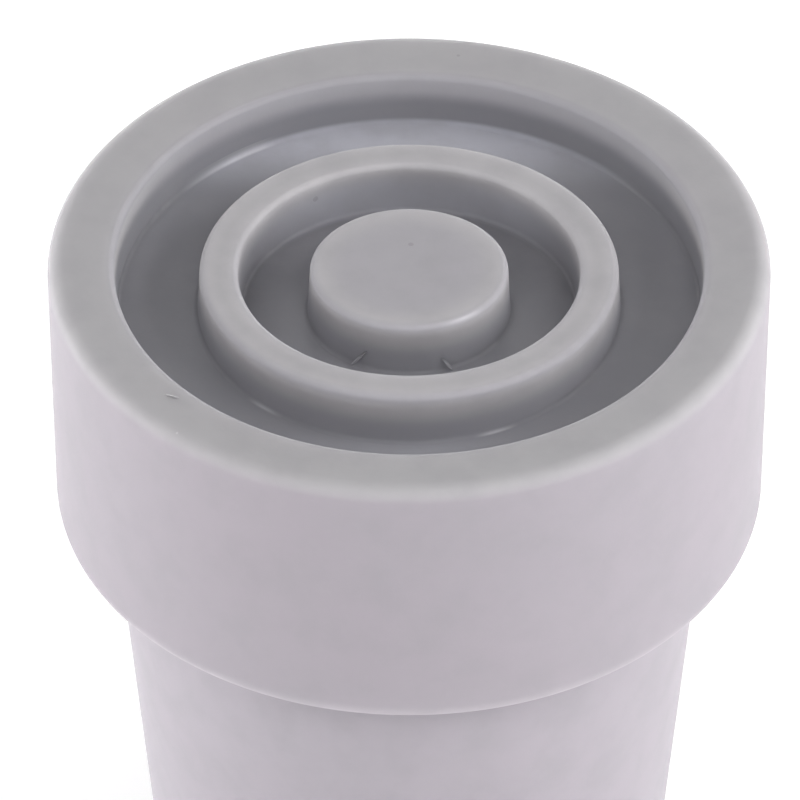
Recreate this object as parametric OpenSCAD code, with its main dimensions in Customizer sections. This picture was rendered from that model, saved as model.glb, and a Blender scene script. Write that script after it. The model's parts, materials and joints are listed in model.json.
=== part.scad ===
// Push-on rubber tip for a walking cane, one moulding turned about its Z axis.
// It stands on the mouth of its sleeve with the tread up, and the origin is the mouth's centre.

/* [Foot] */
// Diameter of the foot at the tread
foot_d = 38; // [36:0.5:46]
// Height of the foot, from its flat underside to the tread
foot_h = 16.3; // [12:0.1:22]
// Slope of the foot's side, narrower towards the sleeve
foot_taper = 1.3; // [0:0.1:3]
// Radius of the outer edge of the tread
tread_edge_r = 0.8; // [0.3:0.1:1.6]
// Radius of the lower edge of the foot
foot_edge_r = 1.4; // [0.3:0.1:2]

/* [Tread] */
// Width of the flat rim round the tread
rim_w = 3.5; // [2.6:0.1:4.5]
// Depth of the outer groove below the rim
outer_groove_depth = 3.3; // [2.4:0.1:4.5]
// Depth of the inner groove below the rim
inner_groove_depth = 3.6; // [2.4:0.1:4.8]
// Outer diameter of the middle ring
ring_d = 22; // [19:0.1:24]
// Width of the middle ring
ring_w = 2; // [1.6:0.05:2.6]
// How far the ring stays below the rim
ring_drop = 0.7; // [0:0.05:1.4]
// Diameter of the centre boss
boss_d = 10.4; // [7:0.1:13]
// How far the boss stays below the rim
boss_drop = 0.6; // [0:0.05:1.4]
// Draft of the groove walls, so that the tread leaves its mould
groove_draft = 2.6; // [1:0.1:5]
// Radius of the rim's inner edge
rim_edge_r = 0.35; // [0.2:0.05:1]
// Radius of the ring's outer edge
ring_outer_edge_r = 0.35; // [0.2:0.05:1.3]
// Radius of the ring's inner edge
ring_inner_edge_r = 0.3; // [0.1:0.05:0.4]
// Radius of the boss's edge
boss_edge_r = 0.3; // [0.1:0.05:0.8]
// Radius where the walls meet the groove floors
groove_root_r = 0.25; // [0.1:0.05:0.6]

/* [Sleeve] */
// Height from the sleeve's mouth to the tread
overall_h = 48; // [42:0.5:60]
// Outer diameter of the sleeve where it meets the foot
shoulder_d = 31.5; // [29:0.5:33]
// Outer diameter of the sleeve at its mouth
mouth_d = 25.4; // [24:0.2:28]
// Radius of the mouth's outer edge
mouth_edge_r = 0.9; // [0.2:0.1:1]
// Radius between the sleeve and the foot's underside
shoulder_root_r = 0.4; // [0.1:0.1:1]

/* [Socket] */
// Diameter of the socket, a press fit on the shaft
socket_d = 19; // [16:0.1:20]
// Depth of the socket from the mouth
socket_depth = 34; // [28:0.5:36]
// Radius of the lead-in at the mouth
lead_in_r = 0.8; // [0.2:0.1:1]
// Radius of the corner at the socket's blind end
socket_corner_r = 1.5; // [0.3:0.1:3]

/* [Hidden] */
$fn = 180;

// Straight steps along each rounded corner
ARC_STEPS = 10;

RUBBER_GREY = [0.655, 0.643, 0.667];

// Heights above the mouth
tread_z = overall_h;
shoulder_z = tread_z - foot_h;
outer_floor_z = tread_z - outer_groove_depth;
inner_floor_z = tread_z - inner_groove_depth;
ring_z = tread_z - ring_drop;
boss_z = tread_z - boss_drop;

// How far a drafted groove wall leans over a given height
function lean(height) = height * tan(groove_draft);

// Radii of the walls where they meet the tread's faces and the groove floors
foot_r = foot_d / 2;
foot_low_r = foot_r - foot_h * tan(foot_taper);
rim_r = foot_r - rim_w;
rim_floor_r = rim_r - lean(outer_groove_depth);
ring_out_r = ring_d / 2;
ring_out_floor_r = ring_out_r + lean(ring_z - outer_floor_z);
ring_in_r = ring_out_r - ring_w;
ring_in_floor_r = ring_in_r - lean(ring_z - inner_floor_z);
boss_r = boss_d / 2;
boss_floor_r = boss_r + lean(boss_z - inner_floor_z);

// Corners of the half section, each [radius, height, edge radius], up the outside from the socket
sleeve_corners = [
    [0, socket_depth, 0],
    [socket_d / 2, socket_depth, socket_corner_r],
    [socket_d / 2, 0, lead_in_r],
    [mouth_d / 2, 0, mouth_edge_r],
    [shoulder_d / 2, shoulder_z, shoulder_root_r],
];
foot_corners = [
    [foot_low_r, shoulder_z, foot_edge_r],
    [foot_r, tread_z, tread_edge_r],
];
tread_corners = [
    [rim_r, tread_z, rim_edge_r],
    [rim_floor_r, outer_floor_z, groove_root_r],
    [ring_out_floor_r, outer_floor_z, groove_root_r],
    [ring_out_r, ring_z, ring_outer_edge_r],
    [ring_in_r, ring_z, ring_inner_edge_r],
    [ring_in_floor_r, inner_floor_z, groove_root_r],
    [boss_floor_r, inner_floor_z, groove_root_r],
    [boss_r, boss_z, boss_edge_r],
    [0, boss_z, 0],
];

half_section = concat(sleeve_corners, foot_corners, tread_corners);

function point(corner) = [corner[0], corner[1]];
function toward(a, b) = (point(b) - point(a)) / norm(point(b) - point(a));
function turn(a, b) = a[0] * b[1] - a[1] * b[0];
function turned(v, angle) = [v[0] * cos(angle) - v[1] * sin(angle), v[0] * sin(angle) + v[1] * cos(angle)];

// The points of corner i once it is rounded by its own radius, along an arc tangent to both sides
function rounded(outline, i) =
    let (
        count = len(outline),
        here = outline[i],
        radius = here[2],
        back = toward(here, outline[(i + count - 1) % count]),
        ahead = toward(here, outline[(i + 1) % count]),
        half_angle = acos(back * ahead) / 2,
        middle = (back + ahead) / norm(back + ahead),
        centre = point(here) + radius / sin(half_angle) * middle,
        first = point(here) + radius / tan(half_angle) * back - centre,
        side = turn(back, ahead) < 0 ? 1 : -1,
        sweep = side * (180 - 2 * half_angle)
    )
    radius > 0
        ? [for (k = [0 : ARC_STEPS]) centre + turned(first, sweep * k / ARC_STEPS)]
        : [point(here)];

// Foot, tread and socketed sleeve, moulded as one solid
module cane_tip() {
    color(RUBBER_GREY)
        rotate_extrude()
            polygon([for (i = [0 : len(half_section) - 1]) each rounded(half_section, i)]);
}

cane_tip();
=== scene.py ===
"""Looks of a push-on rubber cane tip that stands tread up on the mouth of its sleeve.

The tip is one moulding: a thick round foot whose tread has a rim, two grooves, a ring and a boss,
and a tapered sleeve with a blind socket for the cane's shaft. Everything is in metres, in the part's
own frame: the origin is the centre of the sleeve's mouth and +Z points up to the tread.
"""

import json
import logging
import math
from dataclasses import dataclass, field
from enum import Enum
from functools import partial, reduce

import bmesh
import bpy
from mathutils import Matrix, Vector


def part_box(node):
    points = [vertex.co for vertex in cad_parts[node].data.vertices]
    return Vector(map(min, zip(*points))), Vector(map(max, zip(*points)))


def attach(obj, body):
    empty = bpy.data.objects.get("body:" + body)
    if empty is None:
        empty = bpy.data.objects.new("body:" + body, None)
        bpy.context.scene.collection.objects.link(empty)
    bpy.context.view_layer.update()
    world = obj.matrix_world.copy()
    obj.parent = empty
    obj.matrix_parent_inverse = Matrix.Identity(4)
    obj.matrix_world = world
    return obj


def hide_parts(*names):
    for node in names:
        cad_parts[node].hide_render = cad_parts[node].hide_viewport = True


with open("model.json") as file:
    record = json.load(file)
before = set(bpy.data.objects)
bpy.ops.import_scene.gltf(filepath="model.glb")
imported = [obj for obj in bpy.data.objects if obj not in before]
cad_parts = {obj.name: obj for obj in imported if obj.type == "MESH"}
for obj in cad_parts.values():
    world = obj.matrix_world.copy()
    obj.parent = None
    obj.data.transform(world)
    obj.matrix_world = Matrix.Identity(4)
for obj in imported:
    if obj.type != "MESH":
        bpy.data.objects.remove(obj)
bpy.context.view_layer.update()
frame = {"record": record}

LOG = logging.getLogger("cane_tip")
NODE = "cane_tip"
BODY = "root"
MM = 0.001

Colour = tuple[float, float, float, float]
Span = tuple[float, float]
Point = tuple[float, float, float]
Output = bpy.types.NodeSocket


@dataclass(frozen=True)
class Corner:
    """One corner of the tip's half section, with the radius that rounds it."""

    radius: float
    height: float
    rounding: float = 0.0

    def place(self) -> Vector:
        """Returns the corner's point in the plane y = 0."""
        return Vector((self.radius, 0.0, self.height))

    def cut_back(self, before: "Corner", after: "Corner") -> float:
        """Works out how far an arc of the rounding's radius reaches along both sides.

        Args:
            before: the corner that comes before this one on the outline.
            after: the corner that follows it.

        Returns:
            The distance from the corner to the arc's ends.
        """
        back = before.place() - self.place()
        ahead = after.place() - self.place()
        return self.rounding / math.tan(back.angle(ahead) / 2)


@dataclass
class Sleeve:
    """The tapered sleeve and its blind socket, from the mouth up to the foot."""

    socket_radius: float
    socket_depth: float = 34.0 * MM
    socket_corner: float = 1.5 * MM
    lead_in: float = 0.8 * MM
    mouth_radius: float = 12.7 * MM
    mouth_edge: float = 0.9 * MM
    shoulder_radius: float = 15.75 * MM
    shoulder_root: float = 0.4 * MM

    def corners(self, shoulder_height: float) -> list[Corner]:
        """Lists the corners from the socket's blind end, out of the mouth and up the outside.

        Args:
            shoulder_height: height of the foot's underside above the mouth.

        Returns:
            The corners in order.
        """
        return [
            Corner(0.0, self.socket_depth),
            Corner(self.socket_radius, self.socket_depth, self.socket_corner),
            Corner(self.socket_radius, 0.0, self.lead_in),
            Corner(self.mouth_radius, 0.0, self.mouth_edge),
            Corner(self.shoulder_radius, shoulder_height, self.shoulder_root),
        ]


@dataclass
class Foot:
    """The thick round foot under the tread."""

    radius: float = 19.0 * MM
    height: float = 16.3 * MM
    taper: float = math.radians(1.3)
    tread_edge: float = 0.8 * MM
    lower_edge: float = 1.4 * MM

    def corners(self, tread_height: float) -> list[Corner]:
        """Lists the foot's lower and upper corner.

        Args:
            tread_height: height of the tread above the mouth.

        Returns:
            The corners, the lower one first.
        """
        lower_radius = self.radius - self.height * math.tan(self.taper)
        return [
            Corner(lower_radius, tread_height - self.height, self.lower_edge),
            Corner(self.radius, tread_height, self.tread_edge),
        ]


@dataclass
class Tread:
    """The tread's rim, grooves, ring and boss, moulded with draft."""

    rim_width: float = 3.5 * MM
    rim_edge: float = 0.35 * MM
    rim_fall: float = 0.25 * MM
    outer_groove_depth: float = 3.3 * MM
    inner_groove_depth: float = 3.6 * MM
    groove_root: float = 0.25 * MM
    draft: float = math.radians(2.6)
    ring_radius: float = 11.0 * MM
    ring_width: float = 2.0 * MM
    ring_drop: float = 0.7 * MM
    ring_outer_edge: float = 0.35 * MM
    ring_inner_edge: float = 0.3 * MM
    boss_radius: float = 5.2 * MM
    boss_drop: float = 0.6 * MM
    boss_edge: float = 0.3 * MM
    sag: float = 0.037

    def lean(self, height: float) -> float:
        """Returns how far a drafted wall leans over a height."""
        return height * math.tan(self.draft)

    def settle(self, place: Vector, tread_height: float) -> float:
        """Works out how far the middle of the tread has settled, lower at the back, higher in front.

        Args:
            place: a point of the moulding.
            tread_height: height of the tread above the mouth.

        Returns:
            The change of the point's height.
        """
        floor = tread_height - self.outer_groove_depth
        ring_top = tread_height - self.ring_drop
        radius = math.hypot(place.x, place.y)
        above_socket = place.z > tread_height - self.inner_groove_depth - self.groove_root
        if not above_socket or radius > self.ring_radius + self.lean(ring_top - floor):
            return 0.0
        share = 1.0 if radius < self.ring_radius else (place.z - floor) / (ring_top - floor)
        return -self.sag * place.y * share

    def corners(self, foot_radius: float, tread_height: float) -> list[Corner]:
        """Lists the tread's corners from the rim in to the boss's centre.

        Args:
            foot_radius: radius of the foot at the tread.
            tread_height: height of the tread above the mouth.

        Returns:
            The corners in order.
        """
        outer_floor = tread_height - self.outer_groove_depth
        inner_floor = tread_height - self.inner_groove_depth
        ring_top = tread_height - self.ring_drop
        boss_top = tread_height - self.boss_drop
        rim_radius = foot_radius - self.rim_width
        ring_inner_radius = self.ring_radius - self.ring_width
        return [
            Corner(rim_radius, tread_height - self.rim_fall, self.rim_edge),
            Corner(rim_radius - self.lean(self.outer_groove_depth), outer_floor, self.groove_root),
            Corner(self.ring_radius + self.lean(ring_top - outer_floor), outer_floor, self.groove_root),
            Corner(self.ring_radius, ring_top, self.ring_outer_edge),
            Corner(ring_inner_radius, ring_top, self.ring_inner_edge),
            Corner(ring_inner_radius - self.lean(ring_top - inner_floor), inner_floor, self.groove_root),
            Corner(self.boss_radius + self.lean(boss_top - inner_floor), inner_floor, self.groove_root),
            Corner(self.boss_radius, boss_top, self.boss_edge),
            Corner(0.0, boss_top),
        ]


class Sum(Enum):
    """The sums that masks and levels are worked out with."""

    ADD = "ADD"
    SUBTRACT = "SUBTRACT"
    MULTIPLY = "MULTIPLY"
    LESS = "LESS_THAN"
    GREATER = "GREATER_THAN"
    LARGER_OF = "MAXIMUM"
    ANGLE = "ARCTAN2"


class Cover(Enum):
    """How one colour goes over another."""

    PAINT = "MIX"
    TINT = "MULTIPLY"


@dataclass
class Wiring:
    """Adds the nodes of one node tree and joins them."""

    tree: bpy.types.NodeTree

    def node(self, kind: str, inputs: dict | None = None, **settings: object) -> bpy.types.Node:
        """Adds a node.

        Args:
            kind: Blender's name for the node's type.
            inputs: what goes into its sockets, each a value or another node's output.
            settings: properties of the node itself.

        Returns:
            The node.
        """
        made = self.tree.nodes.new(kind)
        for name, value in settings.items():
            setattr(made, name, value)
        for key, value in (inputs or {}).items():
            if isinstance(value, Output):
                self.tree.links.new(value, made.inputs[key])
            else:
                made.inputs[key].default_value = value
        return made

    def work_out(self, how: Sum, first: Output | float, second: Output | float) -> Output:
        """Works out a sum of two values.

        Args:
            how: the sum.
            first: a number or an output.
            second: a number or an output.

        Returns:
            The result's output.
        """
        return self.node("ShaderNodeMath", {0: first, 1: second}, operation=how.value).outputs["Value"]

    def all_of(self, *masks: Output | float) -> Output:
        """Multiplies masks and shares."""
        return reduce(partial(self.work_out, Sum.MULTIPLY), masks)

    def any_of(self, *masks: Output | float) -> Output:
        """Takes the largest of several masks."""
        return reduce(partial(self.work_out, Sum.LARGER_OF), masks)

    def fade(self, value: Output, start: float, end: float) -> Output:
        """Rises smoothly from 0 to 1 while a value goes from start to end.

        Args:
            value: the output that is followed.
            start: where the rise begins.
            end: where it is complete.

        Returns:
            The mask's output.
        """
        inputs = {"Value": value, "From Min": start, "From Max": end}
        return self.node("ShaderNodeMapRange", inputs, interpolation_type="SMOOTHSTEP").outputs["Result"]

    def near(self, value: Output, level: float, reach: float) -> Output:
        """Marks where a value is near a level.

        Args:
            value: the output that is followed.
            level: where the mask is 1.
            reach: how far from the level it ends.

        Returns:
            The mask's output.
        """
        apart = self.work_out(Sum.SUBTRACT, value, level)
        size = self.node("ShaderNodeMath", {0: apart}, operation="ABSOLUTE").outputs["Value"]
        return self.fade(size, reach, 0.0)

    def mix(self, share: Output, below: Output | Colour, above: Colour, how: Cover) -> Output:
        """Lays one colour over another.

        Args:
            share: how much of the upper colour shows.
            below: the colour that is covered.
            above: the colour that goes over it.
            how: whether it paints or tints.

        Returns:
            The colour's output.
        """
        # The node's own colours are its inputs 6 and 7 and its output 2
        inputs = {0: share, 6: below, 7: above}
        return self.node("ShaderNodeMix", inputs, data_type="RGBA", blend_type=how.value).outputs[2]

    def use(self, effect: bpy.types.NodeTree, place: Output, **settings: float) -> bpy.types.NodeOutputs:
        """Adds a shared effect.

        Args:
            effect: the effect's node group.
            place: the place on the tip.
            settings: its number inputs.

        Returns:
            The effect's outputs by name.
        """
        return self.node("ShaderNodeGroup", {"Place": place, **settings}, node_tree=effect).outputs


@dataclass
class Effect(Wiring):
    """A shader node group that takes a place on the tip and gives masks."""

    given: bpy.types.NodeOutputs

    @classmethod
    def start(cls, name: str, *settings: str) -> "Effect":
        """Starts the group.

        Args:
            name: the group's name.
            settings: the names of its number inputs.

        Returns:
            The group, ready for its nodes.
        """
        tree = bpy.data.node_groups.new(name, "ShaderNodeTree")
        tree.interface.new_socket(name="Place", in_out="INPUT", socket_type="NodeSocketVector")
        for label in settings:
            tree.interface.new_socket(name=label, in_out="INPUT", socket_type="NodeSocketFloat")
        return cls(tree, tree.nodes.new("NodeGroupInput").outputs)

    def give(self, **masks: Output) -> bpy.types.NodeTree:
        """Finishes the group.

        Args:
            masks: its outputs by name.

        Returns:
            The group's node tree.
        """
        for label in masks:
            self.tree.interface.new_socket(name=label, in_out="OUTPUT", socket_type="NodeSocketFloat")
        self.node("NodeGroupOutput", masks)
        return self.tree


@dataclass(frozen=True)
class Spot:
    """Where a point of the surface is, each as an output."""

    radius: Output
    depth: Output
    back: Output
    height: Output
    angle: Output


@dataclass(frozen=True)
class Landmarks:
    """The tip's own sizes, which the masks of its finish are placed by."""

    tread_height: float
    foot_radius: float
    rim_radius: float
    ring_radii: tuple[float, float]
    boss_radius: float
    hem_height: float

    def raised_edges(self) -> tuple[float, float, float]:
        """Returns the radii of the ring's two edges and of the boss's edge."""
        return (*self.ring_radii, self.boss_radius)

    def locate(self, effect: Effect) -> Spot:
        """Works out where the effect's place is on the tip.

        Args:
            effect: the effect that needs it.

        Returns:
            The distance from the axis, the depth below the tread, the distance back from the axis, the
            height above the mouth and the angle round the axis.
        """
        axes = effect.node("ShaderNodeSeparateXYZ", {"Vector": effect.given["Place"]}).outputs
        flat = effect.node("ShaderNodeCombineXYZ", {"X": axes["X"], "Y": axes["Y"]}).outputs["Vector"]
        radius = effect.node("ShaderNodeVectorMath", {0: flat}, operation="LENGTH").outputs["Value"]
        depth = effect.work_out(Sum.SUBTRACT, self.tread_height, axes["Z"])
        angle = effect.work_out(Sum.ANGLE, axes["Y"], axes["X"])
        return Spot(radius, depth, axes["Y"], axes["Z"], angle)


@dataclass(frozen=True)
class MouldingParts:
    """Tells the grooves, the boss, the outer skin and the sleeve apart, and masks the shade and the light
    that are painted on the groove floors and on the ring's inner wall at the back.

    A pair of sizes is where a mask is 0 and where it is 1. Depths count down from the tread.
    """

    rim_gap: float = 0.1 * MM
    tread_reach: float = 5.0 * MM
    groove_depths: Span = (1.1 * MM, 2.2 * MM)
    floor_depths: Span = (2.9 * MM, 3.2 * MM)
    skin_depths: Span = (0.1 * MM, 0.9 * MM)
    boss_core: float = 0.7
    # The sizes from here on place the painted shade and painted light on the groove floors and on the
    # ring's inner wall at the back.
    grime_from_boss: float = 0.4 * MM
    grime_from_ring: Span = (0.15 * MM, 0.3 * MM)
    outer_gap: float = 0.05 * MM
    beside_reach: float = 12.0 * MM
    beside_share: float = 0.5
    back_bloom: Span = (9.0 * MM, 13.8 * MM)
    front_bloom: Span = (-9.5 * MM, -13.5 * MM)
    front_share: float = 0.35
    wall_reach: float = 0.6 * MM
    wall_bloom: Span = (3.5 * MM, 8.0 * MM)
    wall_share: float = 0.5

    def grime(self, effect: Effect, marks: Landmarks, spot: Spot) -> Output:
        """Masks the painted shade on the floor of the inner groove, darker towards the ring.

        Args:
            effect: the group's nodes.
            marks: the tip's sizes.
            spot: where the place is.

        Returns:
            The mask's output.
        """
        ring = marks.ring_radii[1]
        start, end = self.grime_from_ring
        return effect.all_of(
            effect.work_out(Sum.LESS, spot.radius, ring),
            effect.fade(spot.radius, marks.boss_radius + self.grime_from_boss, ring),
            effect.fade(spot.radius, ring - start, ring - end),
            effect.fade(spot.depth, *self.floor_depths),
        )

    def group(self, marks: Landmarks) -> bpy.types.NodeTree:
        """Builds the group.

        Args:
            marks: the tip's sizes.

        Returns:
            The node group.
        """
        effect = Effect.start("moulding_parts")
        spot = marks.locate(effect)
        outer_ring, inner_ring = marks.ring_radii
        inside = effect.work_out(Sum.LESS, spot.radius, marks.rim_radius + self.rim_gap)
        tread = effect.all_of(inside, effect.work_out(Sum.LESS, spot.depth, self.tread_reach))
        groove = effect.all_of(tread, effect.fade(spot.depth, *self.groove_depths))
        outside = effect.work_out(Sum.SUBTRACT, 1.0, tread)
        outer = effect.work_out(Sum.GREATER, spot.radius, outer_ring + self.outer_gap)
        floor = effect.all_of(outer, groove, effect.fade(spot.depth, *self.floor_depths))
        # Painted shade: the outer groove's floor darker at the left and the right.
        beside = effect.all_of(floor, effect.near(spot.back, 0.0, self.beside_reach), self.beside_share)
        # Painted light: the outer groove's floor paler at the back and, less, in front, and the ring's
        # inner wall paler at the back.
        in_front = effect.all_of(effect.fade(spot.back, *self.front_bloom), self.front_share)
        ends = effect.any_of(effect.fade(spot.back, *self.back_bloom), in_front)
        wall = effect.all_of(groove, effect.near(spot.radius, inner_ring, self.wall_reach),
                             effect.fade(spot.back, *self.wall_bloom), self.wall_share)
        return effect.give(
            Groove=groove,
            Skin=effect.all_of(outside, effect.fade(spot.depth, *self.skin_depths)),
            Grime=effect.any_of(self.grime(effect, marks, spot), beside),
            Bloom=effect.any_of(effect.all_of(floor, ends), wall),
            Boss=effect.fade(spot.radius, marks.boss_radius, self.boss_core * marks.boss_radius),
            Sleeve=effect.work_out(Sum.LESS, spot.height, marks.hem_height),
        )


@dataclass(frozen=True)
class RubbedEdges:
    """Marks the edges of the tread and the foot that are painted paler as light falls on them, and the
    shade painted under the lips of the grooves.

    A pair of sizes is where a mask is 0 and where it is 1. Depths count down from the tread.
    """

    reach: float = 2.1 * MM
    depths: Span = (2.6 * MM, 0.9 * MM)
    foot_reach: float = 1.5 * MM
    foot_depths: Span = (1.0 * MM, 0.3 * MM)
    foot_share: float = 0.3
    hem_gap: float = 0.6 * MM
    hem_top: Span = (1.3 * MM, 0.3 * MM)
    hem_bottom: Span = (0.0, 0.1 * MM)
    lip_reach: float = 0.55 * MM
    lip_depths: Span = (1.05 * MM, 0.55 * MM)
    rim_lip_depths: Span = (0.9 * MM, 0.5 * MM)
    back_lip: Span = (3.0 * MM, 11.0 * MM)
    back_lip_depths: Span = (2.4 * MM, 1.4 * MM)

    def shade(self, effect: Effect, marks: Landmarks, spot: Spot) -> Output:
        """Masks the painted shade under the lips.

        Args:
            effect: the group's nodes.
            marks: the tip's sizes.
            spot: where the place is.

        Returns:
            The mask's output.
        """
        rim_lip = effect.near(spot.radius, marks.rim_radius, self.lip_reach)
        lips = [
            effect.all_of(rim_lip, effect.fade(spot.depth, *self.rim_lip_depths)),
            effect.all_of(rim_lip, effect.fade(spot.back, *self.back_lip),
                          effect.fade(spot.depth, *self.back_lip_depths)),
        ]
        for edge in marks.raised_edges():
            lip = effect.near(spot.radius, edge, self.lip_reach)
            lips.append(effect.all_of(lip, effect.fade(spot.depth, *self.lip_depths)))
        return effect.any_of(*lips)

    def group(self, marks: Landmarks) -> bpy.types.NodeTree:
        """Builds the group.

        Args:
            marks: the tip's sizes.

        Returns:
            The node group.
        """
        effect = Effect.start("rubbed_edges")
        spot = marks.locate(effect)
        # Painted light on the raised edges of the tread and on the foot's upper edge.
        edges = [effect.near(spot.radius, edge, self.reach) for edge in marks.raised_edges()]
        raised = effect.all_of(effect.any_of(*edges), effect.fade(spot.depth, *self.depths))
        outer = effect.all_of(effect.near(spot.radius, marks.foot_radius, self.foot_reach),
                              effect.fade(spot.depth, *self.foot_depths), self.foot_share)
        # Painted highlight: a pale band along the foot's lower edge.
        gap = effect.work_out(Sum.SUBTRACT, spot.height, marks.hem_height)
        on_foot = effect.work_out(Sum.GREATER, spot.radius, marks.rim_radius + self.hem_gap)
        hem = effect.all_of(effect.fade(gap, *self.hem_top), effect.fade(gap, *self.hem_bottom))
        return effect.give(
            Edge=effect.any_of(raised, outer),
            Hem=effect.all_of(on_foot, hem),
            Shade=self.shade(effect, marks, spot),
        )


@dataclass(frozen=True)
class Streak:
    """A short painted highlight round the axis, strongest at its peak; its angles are in degrees."""

    radius: float
    start: float
    peak: float
    end: float
    depths: Span
    share: float
    width: float = 0.16 * MM

    def mask(self, effect: Effect, spot: Spot) -> Output:
        """Works out where the streak is.

        Args:
            effect: the group's nodes.
            spot: where the place is.

        Returns:
            The mask's output.
        """
        start, peak, end = (math.radians(value) for value in (self.start, self.peak, self.end))
        top, bottom = self.depths
        return effect.all_of(
            effect.fade(spot.angle, start, peak),
            effect.fade(spot.angle, end, peak),
            effect.near(spot.radius, self.radius, self.width),
            effect.work_out(Sum.GREATER, spot.depth, top),
            effect.work_out(Sum.LESS, spot.depth, bottom),
            self.share,
        )


@dataclass(frozen=True)
class GlossStreaks:
    """The highlights painted as bright streaks at the roots of the outer groove and on the boss's edge."""

    root_depths: Span = (2.8 * MM, 3.5 * MM)
    edge_depths: Span = (0.3 * MM, 0.8 * MM)
    thin: float = 0.12 * MM

    def streaks(self) -> tuple[Streak, ...]:
        """Returns the streaks, from the back of the tread to the boss."""
        return (
            Streak(15.26 * MM, 143.0, 123.0, 116.0, self.root_depths, 0.7),
            Streak(15.26 * MM, 52.0, 42.0, 32.0, self.root_depths, 0.12),
            Streak(11.25 * MM, -139.0, -133.0, -125.0, self.root_depths, 0.35),
            Streak(11.22 * MM, -73.0, -67.0, -59.0, self.root_depths, 0.45, self.thin),
            Streak(5.13 * MM, -74.0, -56.0, -38.0, self.edge_depths, 0.32, self.thin),
        )

    def group(self, marks: Landmarks) -> bpy.types.NodeTree:
        """Builds the group.

        Args:
            marks: the tip's sizes.

        Returns:
            The node group.
        """
        effect = Effect.start("gloss_streaks")
        spot = marks.locate(effect)
        masks = [streak.mask(effect, spot) for streak in self.streaks()]
        return effect.give(Streak=effect.any_of(*masks))


@dataclass(frozen=True)
class Noise:
    """One size of uneven pattern in the rubber."""

    scale: float
    detail: float
    roughness: float = 0.5

    def pattern(self, effect: Effect) -> Output:
        """Adds the pattern and returns its output."""
        inputs = {"Vector": effect.given["Place"], "Scale": self.scale, "Detail": self.detail,
                  "Roughness": self.roughness}
        return effect.node("ShaderNodeTexNoise", inputs).outputs["Fac"]


@dataclass(frozen=True)
class Mottle:
    """Cloudy shade, broad tint and fine grain."""

    cloud: Noise = Noise(420.0, 5.0, 0.55)
    tint: Noise = Noise(70.0, 2.0)
    grain: Noise = Noise(5200.0, 3.0, 0.6)

    def group(self) -> bpy.types.NodeTree:
        """Builds the node group and returns it."""
        effect = Effect.start("cloud_and_grain")
        return effect.give(
            Cloud=self.cloud.pattern(effect),
            Tint=self.tint.pattern(effect),
            Grain=self.grain.pattern(effect),
        )


@dataclass(frozen=True)
class Dust:
    """Sparse specks of one colour."""

    colour: Colour
    closeness: float
    size: float
    share: float
    strength: float = 0.3

    @staticmethod
    def group() -> bpy.types.NodeTree:
        """Builds the group for sparse specks.

        Returns:
            The node group.
        """
        effect = Effect.start("dust_specks", "Closeness", "Size", "Share")
        given = effect.given
        inputs = {"Vector": given["Place"], "Scale": given["Closeness"]}
        cells = effect.node("ShaderNodeTexVoronoi", inputs).outputs
        odds = effect.node("ShaderNodeSeparateColor", {"Color": cells["Color"]}).outputs
        wide = effect.all_of(given["Size"], odds["Green"])
        near = effect.work_out(Sum.LESS, cells["Distance"], wide)
        kept = effect.work_out(Sum.LESS, odds["Red"], given["Share"])
        return effect.give(Speck=effect.all_of(near, kept))

    def mask(self, wiring: Wiring, specks: bpy.types.NodeTree, place: Output) -> Output:
        """Works out where this dust lies.

        Args:
            wiring: the material's nodes.
            specks: the group for sparse specks.
            place: the place on the tip.

        Returns:
            The mask's output.
        """
        settings = {"Closeness": self.closeness, "Size": self.size, "Share": self.share}
        return wiring.all_of(wiring.use(specks, place, **settings)["Speck"], self.strength)


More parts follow.
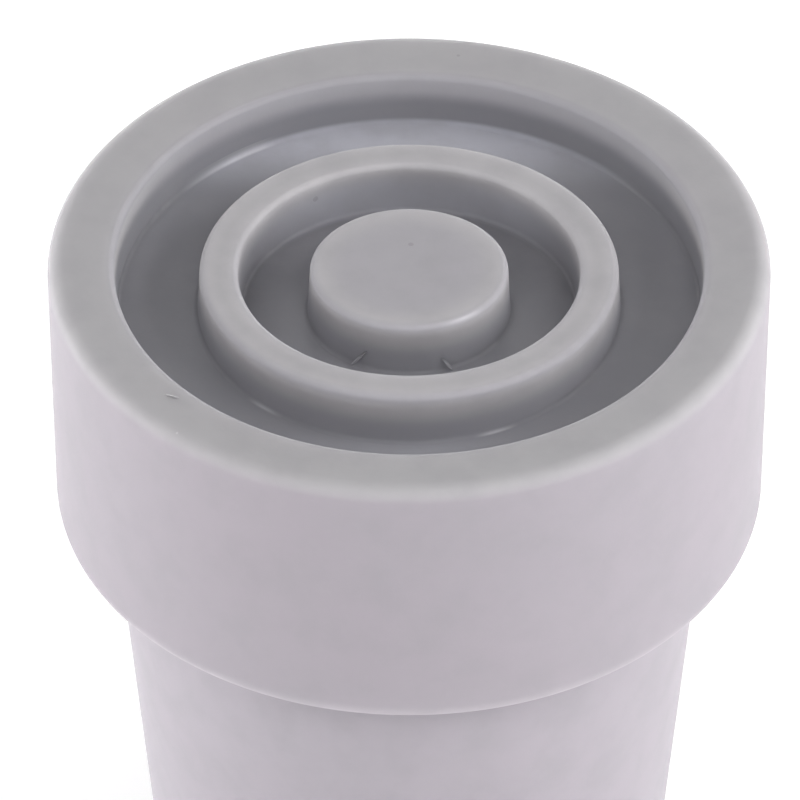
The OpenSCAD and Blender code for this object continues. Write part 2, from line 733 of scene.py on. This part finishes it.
@dataclass(frozen=True)
class RubberFinish:
    """Moulded rubber: matt flats, a paler outer skin and smoother grooves, with faint cloud and dust."""

    name: str = "moulded_rubber"
    flat_colour: Colour = (0.415, 0.403, 0.417, 1.0)
    skin_colour: Colour = (0.387, 0.3555, 0.3915, 1.0)
    groove_colour: Colour = (0.3027, 0.2989, 0.3243, 1.0)
    boss_tint: Colour = (0.992, 0.98, 1.015, 1.0)
    # Painted light: the sleeve is tinted lighter.
    sleeve_tint: Colour = (1.04, 1.045, 1.045, 1.0)
    uneven_tint: Colour = (0.992, 1.001, 0.997, 1.0)
    uneven_range: Span = (0.35, 0.65)
    # Painted shade on the groove floors, darker near the ring and at the left and the right.
    grime_colour: Colour = (0.235, 0.232, 0.252, 1.0)
    # Painted light on the groove floors and on the ring's inner wall at the back.
    bloom_colour: Colour = (0.525, 0.525, 0.578, 1.0)
    # Painted light on the raised edges of the tread and on the foot's upper edge.
    edge_colour: Colour = (0.462, 0.449, 0.465, 1.0)
    # Painted highlight along the foot's lower edge, above the sleeve.
    hem_colour: Colour = (0.5, 0.462, 0.505, 1.0)
    # Painted shade under the lips of the grooves and down the rim's inner wall at the back.
    lip_tint: Colour = (0.81, 0.81, 0.84, 1.0)
    # Painted highlights at the roots of the outer groove and on the boss's edge.
    streak_colour: Colour = (0.85, 0.84, 0.88, 1.0)
    cloud_colour: Colour = (0.33, 0.32, 0.34, 1.0)
    cloud_range: Span = (0.35, 0.75)
    cloud_share: float = 0.3
    dusts: tuple[Dust, ...] = (
        Dust((0.2, 0.19, 0.2, 1.0), 400.0, 0.08, 0.2),
        Dust((0.7, 0.69, 0.7, 1.0), 330.0, 0.06, 0.05),
    )
    matt_roughness: float = 0.5
    groove_roughness: float = 0.3
    cloud_roughness: float = 0.08
    grain_height: float = 0.004 * MM
    gloss: float = 0.12
    softness: float = 0.8
    soft_radius: float = 1.7 * MM

    def colour(self, wiring: Wiring, marks: Landmarks, part: bpy.types.NodeOutputs,
               mottle: bpy.types.NodeOutputs, place: Output) -> Output:
        """Lays the colours over each other.

        Args:
            wiring: the material's nodes.
            marks: the tip's sizes.
            part: the masks of the moulding's parts.
            mottle: the uneven patterns.
            place: the place on the tip.

        Returns:
            The colour's output.
        """
        rubbed = wiring.use(RubbedEdges().group(marks), place)
        streak = wiring.use(GlossStreaks().group(marks), place)
        uneven = wiring.fade(mottle["Tint"], *self.uneven_range)
        cloud = wiring.all_of(wiring.fade(mottle["Cloud"], *self.cloud_range), self.cloud_share)
        layers = [
            (part["Skin"], self.skin_colour, Cover.PAINT),
            (part["Groove"], self.groove_colour, Cover.PAINT),
            (part["Boss"], self.boss_tint, Cover.TINT),
            (part["Sleeve"], self.sleeve_tint, Cover.TINT),
            (uneven, self.uneven_tint, Cover.TINT),
            (part["Grime"], self.grime_colour, Cover.PAINT),
            (part["Bloom"], self.bloom_colour, Cover.PAINT),
            (rubbed["Edge"], self.edge_colour, Cover.PAINT),
            (rubbed["Hem"], self.hem_colour, Cover.PAINT),
            (rubbed["Shade"], self.lip_tint, Cover.TINT),
            (streak["Streak"], self.streak_colour, Cover.PAINT),
            (cloud, self.cloud_colour, Cover.PAINT),
        ]
        specks = Dust.group()
        for dust in self.dusts:
            layers.append((dust.mask(wiring, specks, place), dust.colour, Cover.PAINT))
        colour = self.flat_colour
        for mask, paint, how in layers:
            colour = wiring.mix(mask, colour, paint, how)
        return colour

    def material(self, marks: Landmarks) -> bpy.types.Material:
        """Builds the material.

        Args:
            marks: the tip's sizes.

        Returns:
            The node material.
        """
        material = bpy.data.materials.new(self.name)
        material.use_nodes = True
        wiring = Wiring(material.node_tree)
        place = wiring.node("ShaderNodeTexCoord").outputs["Object"]
        part = wiring.use(MouldingParts().group(marks), place)
        mottle = wiring.use(Mottle().group(), place)
        ends = {"Value": part["Groove"], "To Min": self.matt_roughness, "To Max": self.groove_roughness}
        rough = wiring.node("ShaderNodeMapRange", ends).outputs["Result"]
        rough = wiring.work_out(Sum.ADD, rough, wiring.all_of(mottle["Cloud"], self.cloud_roughness))
        bump = wiring.node("ShaderNodeBump", {"Height": mottle["Grain"], "Distance": self.grain_height})
        shader = wiring.tree.nodes["Principled BSDF"]
        colour = self.colour(wiring, marks, part, mottle, place)
        wiring.tree.links.new(colour, shader.inputs["Base Color"])
        wiring.tree.links.new(rough, shader.inputs["Roughness"])
        wiring.tree.links.new(bump.outputs["Normal"], shader.inputs["Normal"])
        shader.inputs["Specular IOR Level"].default_value = self.gloss
        shader.inputs["Subsurface Weight"].default_value = self.softness
        shader.inputs["Subsurface Radius"].default_value = (1.0, 1.0, 1.0)
        shader.inputs["Subsurface Scale"].default_value = self.soft_radius
        return material


@dataclass(frozen=True)
class Fold:
    """A small raised crease from one point to another; their heights count up from the tread."""

    start: Point
    end: Point
    width: float = 0.24 * MM
    height: float = 0.07 * MM

    def add(self, bm: bmesh.types.BMesh, tread_height: float) -> None:
        """Adds the crease to the moulding.

        Args:
            bm: the mesh of the moulding.
            tread_height: height of the tread above the mouth.
        """
        lift = Vector((0.0, 0.0, tread_height))
        start, end = Vector(self.start) + lift, Vector(self.end) + lift
        along = end - start
        turn = along.to_track_quat("Y", "Z").to_matrix().to_4x4()
        size = Matrix.Diagonal((self.width / 2, along.length / 2, self.height, 1.0))
        place = Matrix.Translation((start + end) / 2) @ turn @ size
        bmesh.ops.create_uvsphere(bm, u_segments=16, v_segments=12, radius=1.0, matrix=place)


@dataclass
class CaneTip:
    """The whole moulding, turned from one half section."""

    tread_height: float
    sleeve: Sleeve
    foot: Foot = field(default_factory=Foot)
    tread: Tread = field(default_factory=Tread)
    finish: RubberFinish = field(default_factory=RubberFinish)
    folds: tuple[Fold, ...] = (
        Fold((-2.20 * MM, -4.80 * MM, -2.35 * MM), (-3.05 * MM, -4.66 * MM, -3.42 * MM)),
        Fold((1.71 * MM, -5.00 * MM, -2.66 * MM), (2.28 * MM, -5.05 * MM, -3.41 * MM)),
        Fold(
            (-12.70 * MM, -10.99 * MM, -0.12 * MM), (-11.95 * MM, -11.25 * MM, -0.14 * MM),
            width=0.1 * MM, height=0.05 * MM,
        ),
    )
    arc_steps: int = 12
    longest_step: float = 0.6 * MM
    steps_around: int = 256

    def outline(self) -> list[Corner]:
        """Returns the half section's corners, from the socket's blind end round to the boss's centre."""
        return (
            self.sleeve.corners(self.tread_height - self.foot.height)
            + self.foot.corners(self.tread_height)
            + self.tread.corners(self.foot.radius, self.tread_height)
        )

    def draw_outline(self, bm: bmesh.types.BMesh) -> None:
        """Draws the half section as a chain of edges, with its corners rounded and its long edges divided.

        Args:
            bm: the mesh to draw in.
        """
        corners = self.outline()
        verts = [bm.verts.new(corner.place()) for corner in corners]
        for start, end in zip(verts, verts[1:]):
            bm.edges.new((start, end))
        for before, corner, after, vert in zip(corners, corners[1:], corners[2:], verts[1:]):
            bmesh.ops.bevel(
                bm, geom=[vert], offset=corner.cut_back(before, after), offset_type="OFFSET",
                segments=self.arc_steps, profile=0.5, affect="VERTICES", material=-1,
            )
        for edge in list(bm.edges):
            cuts = int(edge.calc_length() / self.longest_step)
            if cuts:
                bmesh.ops.subdivide_edges(bm, edges=[edge], cuts=cuts)

    def build(self) -> bpy.types.Object:
        """Turns the half section about the tip's axis.

        Returns:
            The closed moulding.
        """
        bm = bmesh.new()
        self.draw_outline(bm)
        bmesh.ops.spin(
            bm, geom=bm.verts[:] + bm.edges[:], cent=(0, 0, 0), axis=(0, 0, 1),
            angle=math.tau, steps=self.steps_around, use_merge=True, use_duplicate=False,
        )
        bmesh.ops.remove_doubles(bm, verts=bm.verts, dist=0.001 * MM)
        bmesh.ops.recalc_face_normals(bm, faces=bm.faces)
        for vert in bm.verts:
            vert.co.z += self.tread.settle(vert.co, self.tread_height)
        for fold in self.folds:
            fold.add(bm, self.tread_height)
        for face in bm.faces:
            face.smooth = True
        mesh = bpy.data.meshes.new("cane_tip_moulding")
        bm.to_mesh(mesh)
        bm.free()
        piece = bpy.data.objects.new("cane_tip_moulding", mesh)
        bpy.context.scene.collection.objects.link(piece)
        piece.modifiers.new("flat_faces_stay_flat", "WEIGHTED_NORMAL").keep_sharp = True
        return piece

    def dress(self, piece: bpy.types.Object) -> None:
        """Gives the moulding its finish and its place in the frame.

        Args:
            piece: the moulding.
        """
        marks = Landmarks(
            tread_height=self.tread_height,
            foot_radius=self.foot.radius,
            rim_radius=self.foot.radius - self.tread.rim_width,
            ring_radii=(self.tread.ring_radius, self.tread.ring_radius - self.tread.ring_width),
            boss_radius=self.tread.boss_radius,
            hem_height=self.tread_height - self.foot.height,
        )
        piece.data.materials.append(self.finish.material(marks))
        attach(piece, BODY)
        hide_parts(NODE)


@dataclass(frozen=True)
class Softbox:
    """A rectangular area lamp that points at the tread; its angles are in degrees."""

    name: str
    azimuth: float
    elevation: float
    width: float
    height: float
    glow: float
    distance: float = 0.8

    def build(self, target: Vector) -> bpy.types.Object:
        """Makes the lamp, with the power that gives its face its glow.

        Args:
            target: the point it faces.

        Returns:
            The lamp.
        """
        turn = math.radians(self.azimuth)
        rise = math.radians(self.elevation)
        away = Vector((math.sin(turn) * math.cos(rise), -math.cos(turn) * math.cos(rise), math.sin(rise)))
        data = bpy.data.lights.new(self.name, "AREA")
        data.shape = "RECTANGLE"
        data.size = self.width
        data.size_y = self.height
        data.energy = self.glow * math.pi * self.width * self.height
        lamp = bpy.data.objects.new(self.name, data)
        lamp.location = target + away * self.distance
        lamp.rotation_euler = away.to_track_quat("Z", "Y").to_euler()
        bpy.context.scene.collection.objects.link(lamp)
        return lamp


@dataclass
class Studio:
    """White table and surround, soft lamps, and the long-lens camera."""

    floor_size: float = 1.4
    floor_colour: Colour = (0.9, 0.9, 0.9, 1.0)
    floor_glow: float = 0.3
    camera_distance: float = 0.95
    camera_elevation: float = 39.5
    frame_width: float = 800.0
    pixels_per_metre: float = 362.2 / (19.0 * MM)
    tread_pixel: tuple[float, float] = (409.05, 258.2)
    sensor_width: float = 36.0
    clip: Span = (0.05, 20.0)
    softboxes: tuple[Softbox, ...] = (
        Softbox("left_softbox", -80.0, 32.0, 0.9, 0.25, 2.1),
        Softbox("left_strip", -75.0, 7.0, 0.9, 0.14, 4.3),
        Softbox("back_left_strip", -110.0, -1.0, 0.6, 0.08, 31.0),
        Softbox("right_softbox", 80.0, 32.0, 0.9, 0.25, 5.4),
        Softbox("right_strip", 75.0, 7.0, 0.9, 0.14, 5.8),
        Softbox("back_right_strip", 110.0, -1.0, 0.6, 0.08, 10.0),
        Softbox("front_strip", 0.0, 6.0, 0.6, 0.12, 9.4),
        Softbox("front_softbox", 0.0, 50.0, 0.6, 0.25, 5.0),
        Softbox("back_strip", 180.0, 17.0, 1.4, 0.15, 4.7),
        Softbox("back_softbox", 180.0, 62.0, 0.6, 0.25, 1.25),
        Softbox("overhead_softbox", 0.0, 88.0, 0.35, 0.35, 0.4),
    )

    def seen_rays(self, wiring: Wiring) -> Output:
        """Marks the rays that see the plain white surround: the camera's, and those of gloss and glass.

        Args:
            wiring: the nodes of the floor's material or of the world.

        Returns:
            The mask's output.
        """
        path = wiring.node("ShaderNodeLightPath").outputs
        return wiring.any_of(path["Is Camera Ray"], path["Is Transmission Ray"], path["Is Glossy Ray"])

    def build_floor(self) -> None:
        """Lays the white table that the tip stands on, which looks brighter than it lights."""
        bm = bmesh.new()
        bmesh.ops.create_grid(bm, x_segments=1, y_segments=1, size=self.floor_size / 2)
        mesh = bpy.data.meshes.new("table")
        bm.to_mesh(mesh)
        bm.free()
        floor = bpy.data.objects.new("table", mesh)
        bpy.context.scene.collection.objects.link(floor)
        material = bpy.data.materials.new("white_table")
        material.use_nodes = True
        wiring = Wiring(material.node_tree)
        wiring.tree.nodes.clear()
        level = wiring.all_of(self.seen_rays(wiring), self.floor_glow)
        diffuse = wiring.node("ShaderNodeBsdfDiffuse", {"Color": self.floor_colour})
        glow = wiring.node("ShaderNodeEmission", {"Strength": level})
        layers = {0: diffuse.outputs["BSDF"], 1: glow.outputs["Emission"]}
        both = wiring.node("ShaderNodeAddShader", layers)
        wiring.node("ShaderNodeOutputMaterial", {"Surface": both.outputs["Shader"]})
        mesh.materials.append(material)

    def build_world(self) -> None:
        """Surrounds the tip with plain white, which lights nothing matt."""
        world = bpy.data.worlds.new("white_room")
        bpy.context.scene.world = world
        world.use_nodes = True
        wiring = Wiring(world.node_tree)
        wiring.tree.nodes.clear()
        dark = wiring.node("ShaderNodeBackground", {"Strength": 0.0})
        white = wiring.node("ShaderNodeBackground", {"Color": (1.0, 1.0, 1.0, 1.0)})
        sides = {0: self.seen_rays(wiring), 1: dark.outputs["Background"], 2: white.outputs["Background"]}
        mixed = wiring.node("ShaderNodeMixShader", sides)
        wiring.node("ShaderNodeOutputWorld", {"Surface": mixed.outputs["Shader"]})

    def build_camera(self, tread_centre: Vector) -> None:
        """Sets up the camera, turned so that the tread's centre shows at its pixel.

        Args:
            tread_centre: centre of the rim's flat face.
        """
        rise = math.radians(self.camera_elevation)
        right = Vector((1.0, 0.0, 0.0))
        up = Vector((0.0, math.sin(rise), math.cos(rise)))
        back = Vector((0.0, -math.cos(rise), math.sin(rise)))
        column, row = self.tread_pixel
        middle = self.frame_width / 2
        aim = tread_centre + (right * (middle - column) + up * (row - middle)) / self.pixels_per_metre
        data = bpy.data.cameras.new("long_lens")
        data.sensor_width = self.sensor_width
        data.lens = self.pixels_per_metre * self.camera_distance * self.sensor_width / self.frame_width
        data.clip_start, data.clip_end = self.clip
        camera = bpy.data.objects.new("long_lens", data)
        camera.location = tread_centre + back * self.camera_distance
        camera.rotation_euler = (camera.location - aim).to_track_quat("Z", "Y").to_euler()
        bpy.context.scene.collection.objects.link(camera)
        bpy.context.scene.camera = camera

    def build(self, tread_centre: Vector) -> None:
        """Builds the floor, the world, the lamps and the camera.

        Args:
            tread_centre: centre of the rim's flat face.
        """
        bpy.context.scene.view_settings.view_transform = "Standard"
        self.build_floor()
        self.build_world()
        for softbox in self.softboxes:
            softbox.build(tread_centre)
        self.build_camera(tread_centre)


def main() -> None:
    """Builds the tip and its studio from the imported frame."""
    logging.basicConfig(level=logging.INFO, format="%(name)s: %(message)s")
    socket = next(mount for mount in frame["record"]["mounts"] if mount["name"] == "socket")
    tread_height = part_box(NODE)[1].z
    tip = CaneTip(tread_height, Sleeve(socket["dims"]["r_mm"] * MM))
    piece = tip.build()
    tip.dress(piece)
    LOG.info("%s has %d faces", piece.name, len(piece.data.polygons))
    Studio().build(Vector((0.0, 0.0, tread_height)))


if __name__ == "__main__":
    main()
